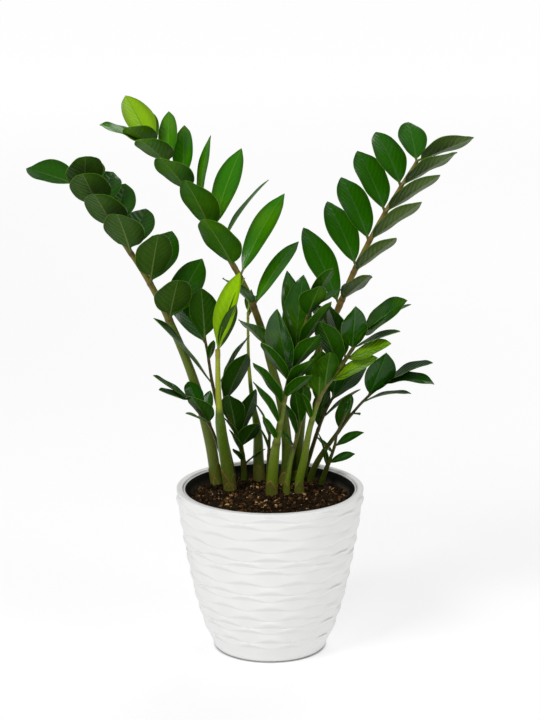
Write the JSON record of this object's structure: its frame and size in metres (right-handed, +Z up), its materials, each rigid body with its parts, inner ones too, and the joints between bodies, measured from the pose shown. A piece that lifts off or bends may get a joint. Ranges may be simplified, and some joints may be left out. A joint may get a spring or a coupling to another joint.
{
  "type": "potted zz plant",
  "caption": "Leafy houseplant with arching pinnate stems of glossy leaflets, rooted in potting mix in a nursery pot that stands inside a round white cover pot with wave relief.",
  "frame": {"origin": "centre of the planter's flat underside, on the axis of the pot", "axes": "+Z up along the pot's axis; -Y towards the front of the pictured view, where the low front shoots stand; +X to the right of that view"},
  "size_m": [0.448, 0.1938, 0.5581],
  "materials": {
    "planter": "moulded white plastic, matte, with horizontal wave relief and a smooth rounded lip",
    "nursery_pot": "thin thermoformed plastic, dark grey, its rolled lip rubbed to a dull silver grey",
    "potting_mix": "moist peat and bark crumbs with a few pale perlite grains",
    "foliage": "thick waxy leaflets, glossy above and dull grey-green below, on smooth olive stems",
    "young_foliage": "new growth, smooth lime green and glossy, on an olive foot"
  },
  "bodies": {
    "root": {"planter": "planter", "nursery_pot": "nursery_pot", "potting_mix": "potting_mix", "frond_tall_left": "foliage", "frond_tall_middle": "foliage", "frond_tall_right": "foliage", "shoot_furled": "young_foliage", "shoot_thin_back": "young_foliage", "frond_front_centre": "foliage", "shoot_short_centre": "foliage", "frond_right_centre": "foliage", "frond_low_right": "foliage", "shoot_right": "foliage", "shoot_front_left": "foliage", "shoot_dark_left": "foliage", "shoot_centre_left": "foliage", "shoot_small_centre": "foliage", "shoot_dark_right": "foliage"}
  },
  "joints": []
}
